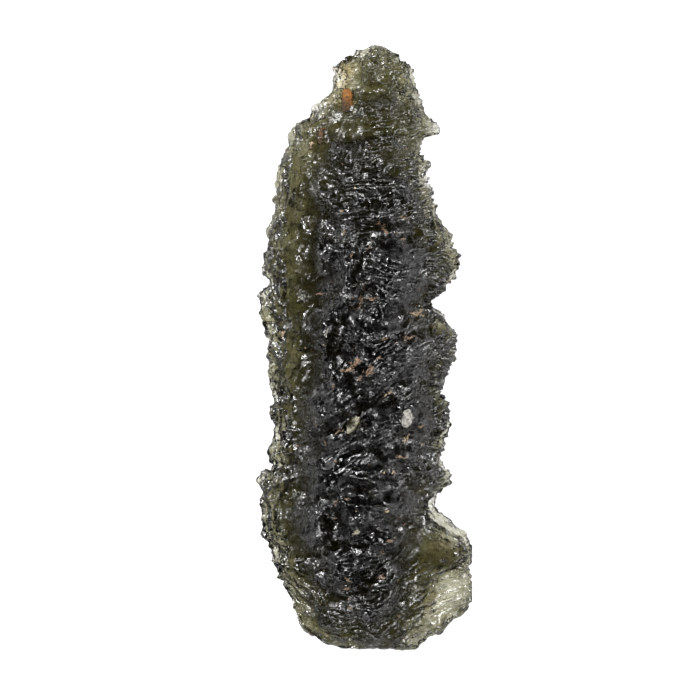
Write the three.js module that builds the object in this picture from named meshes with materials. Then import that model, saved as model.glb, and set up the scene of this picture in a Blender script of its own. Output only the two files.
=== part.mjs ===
// A moldavite: one natural piece of bottle-green impact glass, long and narrow, deeply etched all over.
//
// The stone lies on its broad, flatter side. +Y runs along it towards the pointed tip, +X to the right as
// seen from above, +Z up from the surface that it rests on. All sizes are in millimetres.
//
// Its form is a thick rounded back that runs the whole length, with thin edges round it: a flange down the
// left side and a wide, thin plate at the lower right. The back carries lumps parted by creases, and the
// whole skin is worn into small cups with crests between them. Underneath, the belly rests on its high
// points, which are worn flat.
import * as THREE from "three";
import { ImprovedNoise } from "three/addons/math/ImprovedNoise.js";

// ---------------------------------------------------------------- driving dimensions

const HALF_LENGTH = 22.67;
const RIM_Z = 3.0; // height of the thin edge above the surface
const RIM_SIDE = [0.22, 0.6]; // least and most half height of the edge's blunt side
const SKIRT_TOP = 0.8; // how far the upper face rises from the edge before the back starts
const SKIRT_BELOW = 0.7; // how far the lower face falls from the edge before the belly starts
const SKIRT_REACH = 1.6; // the distance in from the edge over which both do
const SKIRT_WEDGE = 0.55; // 1 is a straight wedge, less is fuller
const BELLY_SQUARE = 3.0; // 2 is round, more is flatter
const BACK_POWER = 1.05; // below 1 the back is full-shouldered
const THINNEST = 0.2; // the least that a face stands off from the edge's height

const STATIONS = 82; // rings along the stone, besides the close ones at its ends
const EVEN_FROM = 2.0; // how far in from each end the even rings start
const END_STEPS = [0, 0.08, 0.22, 0.45, 0.7, 1.0, 1.3, 1.65]; // how far in the close ones are
const TOP_COLUMNS = 30;
const BELOW_COLUMNS = 20;

// The edge, from the tip down: [y, x]. The left edge is seen on the left from above.
const LEFT_EDGE = [
  [22.75, 0.6], [22.5, 0.3], [22.24, -0.5], [21.6, -0.75], [21.45, -1.6], [21.3, -1.95], [21, -2.2],
  [19.9, -2.25], [19.3, -2.4], [18.7, -2.6], [18.5, -3.3], [18.35, -3.75], [17.1, -4.1], [16.9, -4.9],
  [16.8, -5.3], [16.5, -5.55], [14.9, -5.55], [14.1, -6.1], [13.5, -6.5], [12.7, -6.62], [11.5, -6.4],
  [11.1, -6.68], [10.5, -6.45], [9.9, -6.6], [9.1, -7], [8.8, -7.35], [8.1, -7.35], [7.4, -7.1],
  [6.6, -7.6], [5.75, -7.75], [5.1, -7.5], [4.85, -7.15], [4.5, -7.55], [4.2, -7.75], [2.9, -7.95],
  [2.45, -7.85], [2, -7.5], [1.5, -7.3], [0.3, -6.9], [-0.3, -7.2], [-1.1, -7.05], [-2.2, -7.3],
  [-2.7, -7.15], [-3.6, -7.1], [-3.85, -6.7], [-5.6, -7.1], [-5.95, -6.7], [-6.8, -6.8], [-7.7, -7.2],
  [-8.1, -6.98], [-9, -6.7], [-9.3, -7], [-9.6, -7.8], [-10, -8.1], [-10.4, -8], [-10.8, -7.75],
  [-12.2, -7.8], [-13.1, -7.6], [-14.5, -7.35], [-15, -7.05], [-16.4, -6.6], [-18.1, -5.95],
  [-18.6, -5.6], [-19.2, -5.35], [-20.3, -4.7], [-21.2, -4.55], [-21.55, -3.95], [-21.9, -3.35],
  [-22.15, -2.4], [-22.4, -1.2], [-22.75, 0],
];
const RIGHT_EDGE = [
  [22.75, 0.9], [22.54, 1.5], [21.9, 2.1], [21.3, 2.8], [21.1, 3.4], [20.8, 3.75], [20.1, 3.75],
  [19.2, 4.1], [18.6, 4.2], [17.7, 4.65], [17.1, 4.8], [16.8, 5.25], [16.3, 5.6], [15.9, 5.72],
  [15.68, 5.4], [15.6, 4.45], [14.7, 4.05], [14.1, 4.1], [13.95, 4.75], [12.9, 4.6], [12.2, 4.95],
  [11.1, 5.05], [10.7, 5.45], [9.9, 5.5], [9.2, 5.75], [9, 6.1], [8.75, 6.65], [7.6, 6.7], [6.2, 7.1],
  [5.6, 7.2], [5.2, 6.8], [4.8, 6.6], [4.3, 5.95], [3.3, 5.08], [2.95, 5.05], [2.7, 5.5], [2.45, 6.05],
  [1.3, 6.45], [0.5, 6.9], [-0.9, 6.85], [-1.5, 6.3], [-3, 6.05], [-3.25, 5.55], [-3.5, 5.4],
  [-3.85, 5.85], [-4.3, 6.15], [-4.8, 6.1], [-5.9, 6.5], [-6.4, 6.4], [-6.8, 6], [-7.5, 6.08],
  [-8.35, 5.62], [-9.2, 6.3], [-9.85, 6.5], [-10.75, 6.12], [-11, 5.65], [-12, 5.35], [-12.9, 5.95],
  [-13.15, 6.45], [-13.4, 7.2], [-13.8, 7.55], [-15, 8.1], [-15.8, 8.22], [-16.4, 7.9], [-18.3, 8.22],
  [-18.8, 8.05], [-19.8, 7.5], [-20.7, 6.65], [-21.3, 5.8], [-21.6, 5.4], [-21.8, 4.6], [-22.15, 4.3],
  [-22.45, 4], [-22.6, 2.8], [-22.75, 0.9],
];

// The thick back: [y, middle x, reach to the left, reach to the right, height above the skirt].
const BACK = [
  [22.75, 0.7, 0.5, 0.6, 0.2],
  [21.6, 0.9, 1.7, 2.1, 0.6],
  [19.0, 1.2, 2.9, 3.1, 0.9],
  [16.0, 0.6, 4.5, 4.1, 1.4],
  [13.0, 0.3, 4.8, 4.6, 2.1],
  [9.0, 0.4, 5.0, 4.8, 3.2],
  [5.0, 0.3, 4.9, 4.9, 3.9],
  [0.0, 0.2, 4.8, 5.0, 4.3],
  [-5.0, -0.1, 5.2, 5.2, 4.5],
  [-10.0, -0.2, 5.4, 5.0, 4.4],
  [-14.0, -0.4, 5.2, 4.6, 3.9],
  [-18.0, -0.3, 4.7, 4.4, 2.7],
  [-21.0, 0.2, 4.0, 4.2, 1.4],
  [-22.75, 0.4, 1.4, 1.6, 0.4],
];

// How far the belly hangs below the edge, before its high points are worn flat: [y, depth].
const BELLY = [
  [22.75, 0.75],
  [19.0, 1.0],
  [16.0, 1.3],
  [12.0, 1.9],
  [8.0, 2.5],
  [2.0, 2.85],
  [-12.0, 2.85],
  [-17.0, 2.5],
  [-20.0, 1.8],
  [-22.75, 0.9],
];

// Lumps that stand up from the back and the flanges:
// [x, y, half width, half length, turn in degrees, height].
const LUMPS = [
  [0.9, 21.4, 1.6, 1.2, 0, 0.5], // crown of the tip
  [-1.5, 20.3, 0.85, 1.3, 0, 0.35],
  [3.0, 20.3, 1.1, 1.3, 10, 0.6],
  [-3.1, 17.4, 1.0, 1.1, -20, 0.5],
  [1.2, 18.0, 2.2, 1.3, 0, 0.3],
  [2.6, 15.2, 1.8, 1.1, -15, 0.7],
  [-1.5, 17.0, 1.2, 1.2, 30, 0.2],
  [-4.9, 15.4, 0.9, 1.0, 0, 0.6],
  [-5.7, 12.9, 1.3, 1.7, 15, 0.8],
  [-1.8, 13.4, 1.5, 2.0, 10, 0.7],
  [2.4, 11.9, 2.3, 1.2, 12, 0.6],
  [-3.1, 10.7, 1.0, 1.3, 0, 0.8],
  [0.4, 10.2, 1.4, 1.3, -20, 0.5],
  [4.6, 10.5, 1.3, 1.3, 0, 1.0],
  [-6.1, 8.8, 1.3, 1.5, 0, 0.85],
  [-3.2, 6.3, 0.85, 2.3, -8, 1.2], // the leaf-shaped lump left of the back
  [-1.5, 6.4, 0.95, 2.6, 12, 1.0],
  [-6.6, 6.0, 1.3, 1.4, 0, 0.8],
  [2.3, 5.3, 2.1, 1.9, 20, 1.2], // the great lump on the right shoulder
  [5.4, 6.6, 1.8, 2.4, -5, 1.1],
  [-1.8, 3.4, 1.5, 1.5, 30, 0.9],
  [1.6, 3.0, 1.7, 1.0, -15, 0.7],
  [-6.7, 3.2, 1.3, 1.6, 0, 0.9],
  [-3.2, 1.1, 1.2, 1.8, -20, 1.0],
  [0.3, 0.9, 1.6, 1.1, -35, 0.8],
  [3.4, -0.8, 1.4, 1.4, 0, 0.8],
  [5.2, 0.2, 1.7, 2.0, 10, 0.8],
  [-5.9, -1.2, 1.4, 1.9, 0, 0.9],
  [-2.8, -4.1, 2.1, 2.3, 0, 1.5], // the round lump left of the middle
  [1.0, -3.0, 1.5, 1.0, 30, 0.7],
  [3.3, -5.2, 2.5, 1.5, 5, 1.0],
  [5.0, -5.6, 1.4, 1.4, 0, 0.9],
  [-6.3, -5.0, 1.1, 1.4, 0, 0.8],
  [0.3, -6.8, 1.6, 1.1, 25, 0.6],
  [-6.4, -7.9, 1.0, 1.0, 0, 0.5],
  [3.6, -8.2, 2.0, 1.0, -5, 0.8],
  [-3.4, -9.3, 1.3, 1.2, 0, 0.8],
  [0.2, -9.4, 1.9, 1.0, 5, 0.75],
  [5.0, -9.4, 1.3, 1.3, 0, 0.9],
  [-6.9, -10.4, 1.1, 0.9, 0, 0.7],
  [1.6, -11.9, 2.1, 1.0, -8, 0.75],
  [-3.8, -13.8, 1.4, 2.0, 10, 1.1],
  [-0.6, -13.2, 1.7, 1.2, 0, 0.6],
  [2.2, -14.6, 1.8, 1.1, -10, 0.6],
  [-0.9, -16.2, 1.6, 1.0, 8, 0.75],
  [-2.3, -17.3, 1.5, 1.0, 0, 0.9],
  [1.9, -17.0, 1.6, 1.0, 15, 0.6],
  [6.0, -15.7, 2.4, 1.0, 4, 1.3], // the ridge across the plate
  [0.9, -19.3, 2.2, 1.3, 0, 0.8],
  [-3.4, -19.4, 1.1, 1.2, 30, 0.6],
  [6.6, -17.9, 1.0, 0.6, 20, 0.35],
];

// Creases worn between the lumps: width, depth, and the [x, y] points that each follows.
const CREASES = [
  {
    width: 0.7,
    depth: 1.1,
    path: [[-4, 14.6], [-4.9, 12.2], [-4.2, 10.2],
      [-5, 8], [-4.3, 6.2], [-4.8, 4.4]],
  },
  {
    width: 0.6,
    depth: 1.1,
    path: [[-4.5, 3.6], [-4, 1.8], [-4.9, 0.2],
      [-4.3, -1.8], [-5.4, -3.6], [-5, -5.4]],
  },
  {
    width: 0.45,
    depth: 1.6,
    path: [[0.4, 10.5], [-0.3, 8.2], [-0.5, 6], [-0.2, 4.2],
      [-0.8, 3], [-1.8, 1.6], [-2, -0.6]],
  },
  { width: 0.35, depth: 0.9, path: [[-2.2, 9], [-2.35, 7], [-2.7, 5.2], [-3.2, 3.6], [-4, 2.6]] },
  { width: 0.5, depth: 1, path: [[0, 8.3], [1.2, 8.6], [2.4, 8.1], [4.2, 8.6]] },
  { width: 0.55, depth: 1.5, path: [[5.2, 3.1], [3.6, 2.3], [2.2, 1.9], [0.4, 2.1]] },
  { width: 0.4, depth: 1, path: [[5.6, 1.8], [3.6, 1.2], [1.8, 0.6], [0, -0.3], [-1.8, -1.4]] },
  {
    width: 0.5,
    depth: 1.1,
    path: [[-0.5, -1.6], [-0.6, -3.4], [-0.5, -4.8],
      [-1.4, -6], [-2.6, -6.9], [-4.4, -7.6]],
  },
  { width: 0.5, depth: 1.2, path: [[5.3, -3.3], [3.6, -3.1], [1.8, -3.7], [0.2, -4.6]] },
  { width: 0.4, depth: 0.9, path: [[5.9, -7.1], [4.6, -6.9], [2.6, -7.3], [0.6, -8.2], [-1.4, -8]] },
  { width: 0.45, depth: 0.9, path: [[5, -11.4], [3.2, -10.2], [0.6, -10.7], [-1.6, -10.6], [-3, -11.3]] },
  { width: 0.4, depth: 0.7, path: [[-6.8, -9.2], [-5.4, -9], [-4.9, -10.3], [-3.7, -11.2]] },
  { width: 0.45, depth: 1, path: [[-2.4, -12.2], [-1.9, -14], [-2.8, -15.2], [-4.2, -15.8]] },
  { width: 0.4, depth: 0.7, path: [[3.8, -13.4], [1.6, -13.2], [-0.4, -14.6], [-1.8, -15.2]] },
  {
    width: 0.4,
    depth: 0.8,
    path: [[3.6, -15.6], [1.6, -15.8], [0.4, -17.4],
      [-1.6, -18.4], [-3.4, -18.4]],
  },
  { width: 0.6, depth: 0.8, path: [[4.9, -12.4], [4.4, -14], [4.2, -16.5], [4.2, -18.6], [4.4, -20.6]] },
  {
    width: 0.45,
    depth: 0.6,
    path: [[-6.3, -11.4], [-6.2, -13], [-5.5, -14.8],
      [-5, -16.4], [-4.2, -18.2], [-3.9, -19.6]],
  },
  { width: 0.5, depth: 0.7, path: [[-3.6, 17], [-2.4, 16], [-0.8, 15.8], [1.6, 16.3], [4.2, 15.9]] },
  { width: 0.45, depth: 0.8, path: [[-0.9, 21.4], [-0.9, 19.6], [-1, 18.2], [-2.2, 17.9]] },
  { width: 0.4, depth: 0.6, path: [[-3.4, 14.4], [-2.8, 12.4], [-1.4, 11.2], [-0.6, 9.6]] },
  { width: 0.4, depth: 0.6, path: [[0.2, 19], [2.2, 18.9], [4, 18.4]] },
  { width: 0.45, depth: 0.7, path: [[0, 13.6], [2, 13.4], [4, 13.8]] },
];

// Places that are thinner than the rest: [x, y, reach, share left].
const THIN_PLACES = [
  [6.3, -18.2, 2.0, 0.3], // the pale middle of the plate's lower part
  [5.5, -19.7, 1.2, 0.35],
  [5.9, -14.0, 1.7, 0.35], // its upper part
  [5.0, -12.8, 1.1, 0.4],
  [6.9, -14.9, 1.1, 0.6],
  [-1.7, 20.3, 1.3, 0.4], // the pale lobes by the tip
  [0.2, 21.5, 1.0, 0.65],
  [-3.3, 17.7, 1.1, 0.6],
  [5.3, 16.2, 1.0, 0.3],
  [4.7, 12.5, 1.6, 0.3],
  [4.5, 10.8, 1.1, 0.6],
  [5.5, 9.6, 0.9, 0.6],
  [5.9, 7.6, 1.5, 0.65],
  [-5.5, 16.1, 0.9, 0.5],
  [5.8, 2.5, 1.0, 0.35],
  [6.2, -5.9, 0.9, 0.55],
  [6.1, -9.3, 0.9, 0.5],
  [5.3, -11.5, 1.0, 0.4],
  [-7.0, 4.0, 1.5, 0.45],
  [-6.9, 0.8, 1.0, 0.8],
  [-6.8, -7.6, 1.3, 0.65], // the pale lobe of the left flange
  [-6.9, -9.4, 1.2, 0.65],
];

// Cups worn into the skin at two sizes: distance between them, and depth.
const CUPS = [
  { pitch: 2.3, depth: 0.95 },
  { pitch: 1.2, depth: 0.5 },
];
const CUPS_LEVEL = 0.4; // the part of a cup's depth that is taken off all over
const FULL_CUPS = 2.6; // thickness from which cups have their whole depth
const WAVER = 0.35; // long, slow unevenness of both faces
const WAVER_PITCH = 5.0;

// ---------------------------------------------------------------- small maths

const noise = new ImprovedNoise();
const clamp01 = (t) => Math.min(1, Math.max(0, t));
const smooth = (t) => clamp01(t) ** 2 * (3 - 2 * clamp01(t));

// Row of a table at height y, its columns joined by straight lines. Tables run from the tip down.
function rowAt(table, y) {
  const next = table.findIndex((row) => row[0] <= y);
  if (next === 0) return table[0];
  if (next < 0) return table[table.length - 1];
  const [above, below] = [table[next - 1], table[next]];
  const t = (above[0] - y) / (above[0] - below[0]);
  return above.map((value, i) => value + (below[i] - value) * t);
}

// A repeatable number from 0 to 1 for a lattice cell.
function scatter(i, j, k, salt) {
  const wave = Math.sin(i * 127.1 + j * 311.7 + k * 74.7 + salt * 53.3) * 43758.5453;
  return wave - Math.floor(wave);
}

// Distance to the nearest scattered point, in units of the lattice: 0 in a cup's middle, about 0.9 on
// a crest.
function cupDistance(x, y, z, salt) {
  const cell = [Math.floor(x), Math.floor(y), Math.floor(z)];
  let nearest = Infinity;
  for (let i = cell[0] - 1; i <= cell[0] + 1; i++)
    for (let j = cell[1] - 1; j <= cell[1] + 1; j++)
      for (let k = cell[2] - 1; k <= cell[2] + 1; k++) {
        const dx = i + scatter(i, j, k, salt) - x;
        const dy = j + scatter(i, j, k, salt + 1) - y;
        const dz = k + scatter(i, j, k, salt + 2) - z;
        nearest = Math.min(nearest, Math.hypot(dx, dy, dz));
      }
  return nearest;
}

function distanceToPath(x, y, path) {
  let nearest = Infinity;
  for (let i = 1; i < path.length; i++) {
    const [ax, ay] = path[i - 1];
    const [bx, by] = path[i];
    const [ux, uy] = [bx - ax, by - ay];
    const t = clamp01(((x - ax) * ux + (y - ay) * uy) / (ux * ux + uy * uy));
    nearest = Math.min(nearest, Math.hypot(ax + ux * t - x, ay + uy * t - y));
  }
  return nearest;
}

// ---------------------------------------------------------------- the stone's form

// 1 in the middle of an oval, falling to 0 at its edge, with full sides.
function ovalDome(x, y, [cx, cy, halfWidth, halfLength, turn]) {
  const angle = THREE.MathUtils.degToRad(turn);
  const [dx, dy] = [x - cx, y - cy];
  const across = (dx * Math.cos(angle) + dy * Math.sin(angle)) / halfWidth;
  const along = (-dx * Math.sin(angle) + dy * Math.cos(angle)) / halfLength;
  const inside = 1 - across * across - along * along;
  return inside > 0 ? inside ** 0.9 : 0;
}

// Share of the full thickness that is left at a place.
function thinness(x, y) {
  return THIN_PLACES.reduce((share, [cx, cy, reach, left]) => {
    const near = smooth(1.25 - Math.hypot(x - cx, y - cy) / reach);
    return share * (1 - near * (1 - left));
  }, 1);
}

// Half the height of the edge's blunt side: thin as a blade in places, and thick in others.
function rimSide(x, y) {
  const share = smooth(0.5 + 1.1 * noise.noise(x / 2.4, y / 2.4, 21.0));
  return (RIM_SIDE[0] + (RIM_SIDE[1] - RIM_SIDE[0]) * share) * thinness(x, y);
}

// 0 on the edge, 1 from SKIRT_REACH inwards.
function skirt(x, left, right) {
  const inwards = clamp01(Math.min(x - left, right - x) / SKIRT_REACH);
  return inwards ** SKIRT_WEDGE;
}

function cupsAt(x, y, z) {
  return CUPS.reduce((sum, { pitch, depth }, i) => {
    const d = cupDistance(x / pitch, y / pitch, z / pitch, 10 * i);
    return sum + depth * (d * d - CUPS_LEVEL);
  }, 0);
}

// Height of the upper face above the edge, before the skin is worn.
function topRise(x, y, left, right) {
  const [, middle, toLeft, toRight, height] = rowAt(BACK, y);
  const reach = x < middle ? toLeft : toRight;
  const back = height * Math.max(0, 1 - ((x - middle) / reach) ** 2) ** BACK_POWER;
  const lumps = LUMPS.reduce((sum, lump) => sum + lump[5] * ovalDome(x, y, lump), 0);
  const creases = CREASES.reduce(
    (sum, { width, depth, path }) => sum + depth * Math.exp(-((distanceToPath(x, y, path) / width) ** 2)),
    0,
  );
  const inside = skirt(x, left, right);
  const waver = WAVER * noise.noise(x / WAVER_PITCH, y / WAVER_PITCH, 3.7);
  const full = (SKIRT_TOP + back + lumps + waver - creases) * inside;
  return rimSide(x, y) + Math.max(full * thinness(x, y), THINNEST * inside);
}

// Depth of the lower face below the edge, before the skin is worn.
function belowDepth(x, y, left, right) {
  const inside = skirt(x, left, right);
  const across = Math.abs((2 * x - left - right) / (right - left)) ** BELLY_SQUARE;
  const belly = (rowAt(BELLY, y)[1] - SKIRT_BELOW) * Math.max(0, 1 - across);
  const waver = WAVER * noise.noise(x / WAVER_PITCH, y / WAVER_PITCH, 11.3);
  const full = (SKIRT_BELOW + belly + waver) * inside;
  return rimSide(x, y) + Math.max(full * (0.5 + 0.5 * thinness(x, y)), 0.5 * THINNEST * inside);
}

// Height of the edge: it rises and falls a little along the stone, and lifts at the lower right plate.
function edgeHeight(x, y) {
  const plate = 0.5 * smooth((x - 3.5) / 3) * smooth((-11 - y) / 3);
  return RIM_Z + 0.5 * noise.noise(x / 6 + 2.2, y / 6, 8.1) + plate;
}

// ---------------------------------------------------------------- the solid

// Places along the stone of the rings of points, from the tip down.
function stationPlaces() {
  const inner = HALF_LENGTH - EVEN_FROM;
  const even = Array.from({ length: STATIONS }, (_, i) => inner * (1 - (2 * i) / (STATIONS - 1)));
  const tip = END_STEPS.map((step) => HALF_LENGTH - step);
  return [...tip, ...even, ...tip.map((y) => -y).reverse()];
}

// One ring of points round the stone: over the top from left to right, then back underneath. Each is
// [x, y, z, thickness of the stone there].
function ringAt(y) {
  const left = rowAt(LEFT_EDGE, y)[1];
  const right = rowAt(RIGHT_EDGE, y)[1];
  const point = (t, above) => {
    const x = left + ((right - left) * (1 - Math.cos(Math.PI * t))) / 2;
    const [up, down] = [topRise(x, y, left, right), belowDepth(x, y, left, right)];
    return [x, y, edgeHeight(x, y) + (above ? up : -down), up + down];
  };
  const over = Array.from({ length: TOP_COLUMNS }, (_, i) => point(i / (TOP_COLUMNS - 1), true));
  const under = Array.from({ length: BELOW_COLUMNS }, (_, i) => point(1 - i / (BELOW_COLUMNS - 1), false));
  return [...over, ...under];
}

// Moves each point of the rings along the outward normal by the cups' depth, and wears the high points of
// the belly flat on the surface that the stone lies on.
function wornRings(rings) {
  const around = rings[0].length;
  const at = (j, i) => new THREE.Vector3(...rings[j][(i + around) % around]);
  return rings.map((ring, j) =>
    ring.map(([x, y, z, thickness], i) => {
      const along = at(Math.min(j + 1, rings.length - 1), i).sub(at(Math.max(j - 1, 0), i));
      const across = at(j, i + 1).sub(at(j, i - 1));
      const outwards = along.cross(across).normalize();
      const wear = cupsAt(x, y, z) * Math.min(1, thickness / FULL_CUPS);
      return [x + outwards.x * wear, y + outwards.y * wear, Math.max(0, z + outwards.z * wear)];
    }),
  );
}

function stoneGeometry() {
  const rings = wornRings(stationPlaces().map(ringAt));
  const around = rings[0].length;
  const positions = rings.flat(2);
  const faces = [];
  for (let j = 0; j < rings.length - 1; j++)
    for (let i = 0; i < around; i++) {
      const next = (i + 1) % around;
      const [a, b] = [j * around + i, j * around + next];
      const [c, d] = [a + around, b + around];
      faces.push(a, c, b, b, c, d);
    }
  // Each end closes on a point in the middle of its last ring.
  for (const last of [0, rings.length - 1]) {
    const middle = positions.length / 3;
    for (let axis = 0; axis < 3; axis++)
      positions.push(rings[last].reduce((sum, point) => sum + point[axis], 0) / around);
    for (let i = 0; i < around; i++) {
      const [a, b] = [last * around + i, last * around + ((i + 1) % around)];
      faces.push(middle, ...(last === 0 ? [a, b] : [b, a]));
    }
  }
  const geometry = new THREE.BufferGeometry();
  geometry.setAttribute("position", new THREE.Float32BufferAttribute(positions, 3));
  geometry.setIndex(faces);
  // The origin is under the middle of the stone, on the surface.
  geometry.computeBoundingBox();
  const centre = geometry.boundingBox.getCenter(new THREE.Vector3());
  geometry.translate(-centre.x, -centre.y, -geometry.boundingBox.min.z);
  geometry.computeVertexNormals();
  return geometry;
}

const glass = new THREE.MeshStandardMaterial({
  color: 0x3c4230,
  roughness: 0.35,
  metalness: 0,
  flatShading: true,
});
const moldavite = new THREE.Mesh(stoneGeometry(), glass);
moldavite.name = "moldavite";

const part = new THREE.Group();
part.add(moldavite);

export default part;
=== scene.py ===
"""A raw moldavite: a long, deeply etched splash of bottle-green natural glass on a white table.

The stone is one piece of glass. Reddish clay, three rust-yellow lumps that fill two pockets, and two pale
flakes sit in its pits. Shapes are worked out in millimetres, with the same origin and axes as the frame,
and turned into metres when a mesh is made.
"""

import itertools
import math

import bmesh
import bpy
import numpy as np
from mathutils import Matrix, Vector
from mathutils.bvhtree import BVHTree


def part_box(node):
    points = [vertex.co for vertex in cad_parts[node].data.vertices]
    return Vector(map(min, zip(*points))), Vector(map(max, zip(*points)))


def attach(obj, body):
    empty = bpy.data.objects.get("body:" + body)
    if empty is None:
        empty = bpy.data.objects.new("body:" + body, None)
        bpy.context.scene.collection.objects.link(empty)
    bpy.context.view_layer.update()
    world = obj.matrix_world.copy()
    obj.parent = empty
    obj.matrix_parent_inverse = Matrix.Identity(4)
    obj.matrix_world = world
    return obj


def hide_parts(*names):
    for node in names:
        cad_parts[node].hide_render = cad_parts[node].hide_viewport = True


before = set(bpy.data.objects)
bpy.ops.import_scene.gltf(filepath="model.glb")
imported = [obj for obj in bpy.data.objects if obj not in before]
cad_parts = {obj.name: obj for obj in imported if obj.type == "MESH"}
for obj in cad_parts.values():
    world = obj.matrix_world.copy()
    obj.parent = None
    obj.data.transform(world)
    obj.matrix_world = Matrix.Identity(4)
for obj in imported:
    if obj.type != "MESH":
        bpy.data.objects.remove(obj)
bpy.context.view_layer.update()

MM = 0.001

# ---------------- objects and meshes


def put_in_scene(name, data):
    """A new object in the scene, with this mesh, light or camera."""
    thing = bpy.data.objects.new(name, data)
    bpy.context.scene.collection.objects.link(thing)
    return thing


def stone_box():
    """The lowest and the highest corner of the frame's stone, in mm."""
    return (np.array(corner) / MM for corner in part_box("moldavite"))


def mesh_values(mesh, kind):
    """The places, "co", or the smooth normals, "normal", of a mesh's points."""
    values = np.empty(len(mesh.vertices) * 3)
    mesh.vertices.foreach_get(kind, values)
    return values.reshape(-1, 3)


def search_tree(mesh):
    """A mesh, in mm, in a form that lines can be sent at."""
    places = [Vector(place) for place in mesh_values(mesh, "co") / MM]
    return BVHTree.FromPolygons(places, [tuple(face.vertices) for face in mesh.polygons])


def store(mesh, name, domain, values):
    """Stores three numbers for each point or face corner of the mesh."""
    mesh.attributes.new(name, "FLOAT_VECTOR", domain).data.foreach_set("vector", values.ravel())


def shade_smooth(mesh):
    """Makes all faces of the mesh look rounded."""
    mesh.polygons.foreach_set("use_smooth", np.ones(len(mesh.polygons), bool))


# ---------------- steady noise on arrays of points

FINER, LAYER_SHIFT = 2.03, 7.3  # how much finer each layer of rough noise is, and how far it is shifted
FAR = 99.0  # more than any distance that is compared
CUP_SPACE = 0.62  # the squared distance from a cup's middle at which its crest is reached


def scatter(cells, salt):
    """A steady number from 0 to 1 for each whole-number cell of a grid."""
    whole = cells.astype(np.int64).astype(np.uint64)
    mixed = whole[..., 0] * np.uint64(0x9E3779B97F4A7C15)
    mixed = mixed + whole[..., 1] * np.uint64(0xC2B2AE3D27D4EB4F)
    mixed = mixed + whole[..., 2] * np.uint64(0x165667B19E3779F9)
    mixed = mixed + np.uint64((salt * 0x27D4EB2F165667C5) & 0xFFFFFFFFFFFFFFFF)
    mixed = (mixed ^ (mixed >> np.uint64(31))) * np.uint64(0xBF58476D1CE4E5B9)
    mixed = (mixed ^ (mixed >> np.uint64(29))) * np.uint64(0x94D049BB133111EB)
    mixed = mixed ^ (mixed >> np.uint64(32))
    return (mixed >> np.uint64(11)).astype(float) / 2.0**53


def soft_noise(points, salt):
    """Smooth noise from -1 to 1, with one wave to a unit."""
    cell = np.floor(points)
    part = points - cell
    part = part * part * (3.0 - 2.0 * part)
    total = np.zeros(len(points))
    for corner in itertools.product((0, 1), repeat=3):
        share = np.ones(len(points))
        for axis, side in enumerate(corner):
            share = share * (part[:, axis] if side else 1.0 - part[:, axis])
        total += share * scatter(cell + np.array(corner), salt)
    return total * 2.0 - 1.0


def rough_noise(points, salt, layers):
    """Several sizes of soft noise on top of each other, from about -1 to 1."""
    total = np.zeros(len(points))
    height, reach = 1.0, 0.0
    for layer in range(layers):
        total += height * soft_noise(points * FINER**layer + LAYER_SHIFT * layer, salt + layer)
        reach += height
        height *= 0.5
    return total / reach


def wandering(points, amount, wave, salt):
    """The points seen from above, each shifted a little way by noise, in mm."""
    shift = np.stack([soft_noise(points / wave, salt), soft_noise(points / wave, salt + 1)], axis=1)
    return points[:, :2] + amount * shift


def cups(points, salt):
    """Pits one unit apart: 0 at the bottom of a pit, 1 on the sharp crest between pits."""
    cell = np.floor(points)
    nearest = np.full(len(points), FAR)
    for step in itertools.product((-1, 0, 1), repeat=3):
        near = cell + np.array(step)
        shift = np.stack([scatter(near, salt + axis) for axis in range(3)], axis=1)
        gap = near + 0.1 + 0.8 * shift - points
        nearest = np.minimum(nearest, (gap * gap).sum(axis=1))
    return np.clip(nearest / CUP_SPACE, 0.0, 1.0)


def ramp(value, low, high):
    """0 below low, 1 above high, and a smooth rise between."""
    part = np.clip((value - low) / (high - low), 0.0, 1.0)
    return part * part * (3.0 - 2.0 * part)


# ---------------- how the glass flowed

# Where the flow lines run, in mm, with their angle from +X in degrees and how strongly they show.
FLOW = (
    (-1.0, 19.5, 20, 0.3), (1.5, 19.0, 5, 0.4), (2.0, 16.2, 2, 0.9), (-1.8, 16.0, 75, 0.5),
    (1.8, 13.2, -3, 1.0), (4.0, 12.6, -6, 1.0), (-2.5, 12.5, 20, 0.6), (3.2, 10.6, 12, 0.9),
    (-0.4, 10.2, 5, 0.8), (-5.5, 11.0, 78, 0.4), (3.2, 8.4, -4, 0.6), (-1.8, 7.0, 96, 0.5),
    (1.5, 6.4, -16, 1.0), (4.4, 5.4, -20, 0.8), (-5.6, 5.0, 92, 0.3), (-1.6, 3.2, 78, 0.7),
    (1.2, 2.6, -32, 1.0), (-0.3, 0.6, -28, 0.8), (3.2, 0.9, 22, 1.0), (5.4, -0.8, -8, 0.7),
    (-2.6, -1.0, 65, 0.6), (0.8, -2.6, 28, 0.7), (3.8, -3.2, -6, 1.0), (2.6, -5.6, 2, 1.0),
    (-5.8, -4.5, 80, 0.3), (-2.0, -5.0, 55, 0.5), (-2.2, -7.6, 37, 1.0), (1.0, -7.0, 25, 0.9),
    (4.6, -7.5, 4, 0.7), (-4.2, -9.6, -75, 0.8), (1.4, -9.8, -10, 1.0), (4.4, -10.4, 10, 0.6),
    (2.0, -12.6, -14, 1.0), (-1.6, -12.0, -50, 0.5), (-6.3, -12.0, 95, 0.4), (0.6, -14.6, -12, 1.0),
    (-2.8, -15.4, 28, 1.0), (-4.6, -14.0, 60, 0.4), (2.6, -16.8, 23, 1.0), (-1.0, -17.8, -4, 0.9),
    (0.8, -18.6, 12, 0.9), (-3.8, -18.6, -42, 0.7), (3.4, -19.4, 34, 0.7), (0.8, -21.2, 2, 0.7),
    (6.0, -14.0, -30, 0.4), (6.2, -16.2, 14, 0.6), (6.2, -19.2, 24, 0.8),
)
FLOW_BLEND = 0.4 * 1.1  # mm over which one direction passes into the next
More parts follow.
